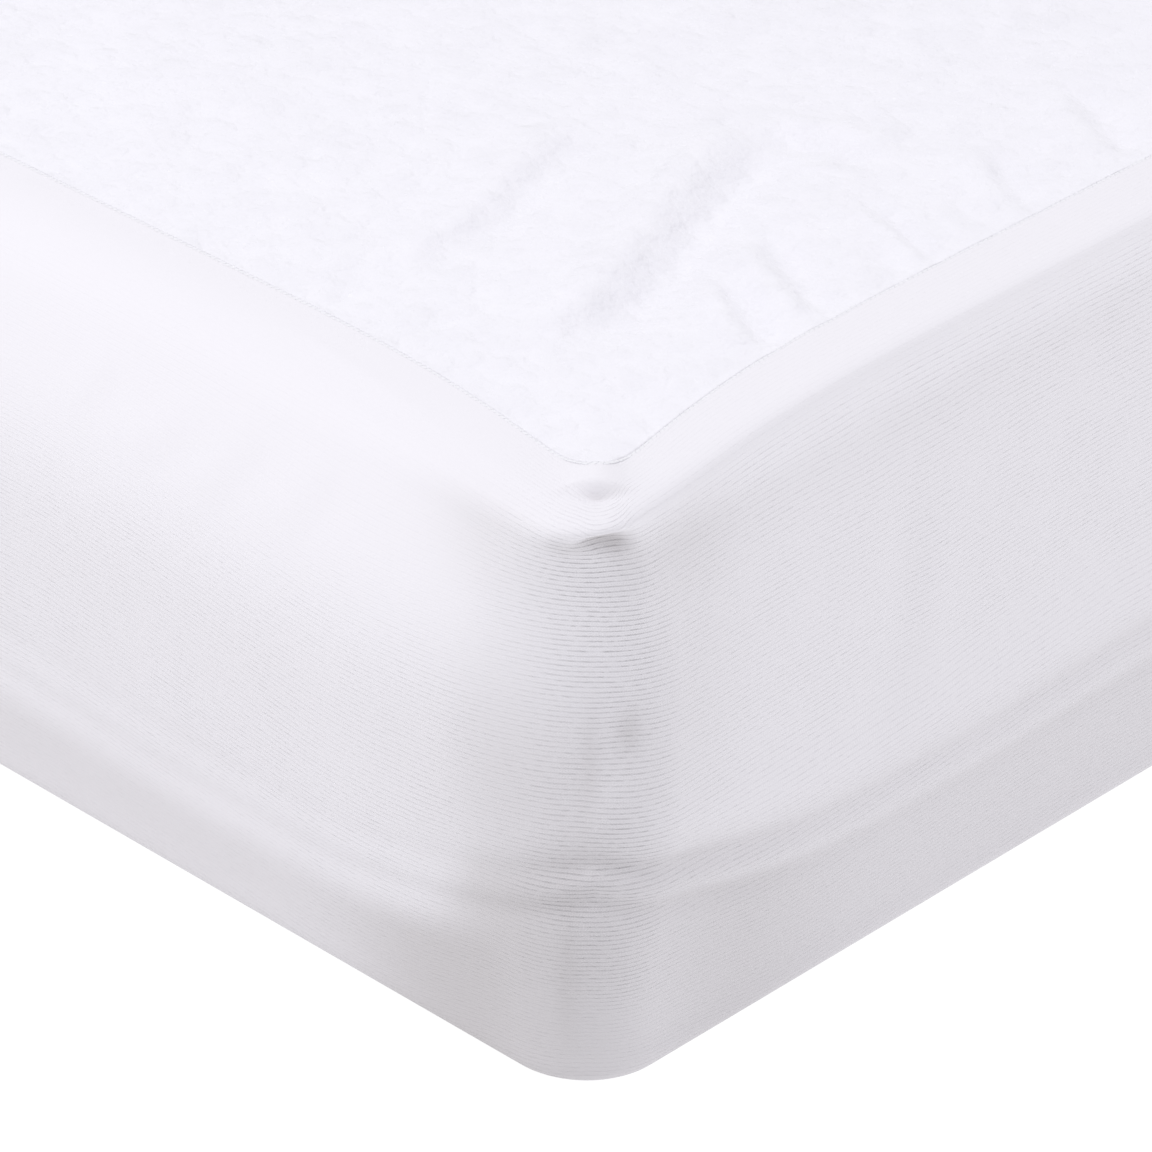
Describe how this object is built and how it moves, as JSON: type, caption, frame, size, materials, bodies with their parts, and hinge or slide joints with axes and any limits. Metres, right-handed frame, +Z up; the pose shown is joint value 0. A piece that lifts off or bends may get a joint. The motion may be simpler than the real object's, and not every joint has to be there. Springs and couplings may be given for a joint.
{
  "type": "waterproof mattress protector on a mattress",
  "caption": "Waterproof mattress protector fitted over a mattress: towelling top panel and knitted stretch skirt that wraps the sides and turns under as a flat hem.",
  "frame": {"origin": "middle of the base, on the surface that the mattress lies on", "axes": "+Z up through the mattress, +Y along its length, +X across its width; the pictured corner is at +X, -Y"},
  "size_m": [0.9073, 1.9068, 0.2563],
  "materials": {
    "towelling": "soft fuzzy white towelling with a waterproof backing, matt",
    "knitted_fabric": "fine ribbed white stretch knit, matt",
    "ticking": "plain off-white woven ticking, matt"
  },
  "bodies": {
    "root": {"top_panel": "towelling", "knit_skirt": "knitted_fabric", "mattress": "ticking"}
  },
  "joints": []
}
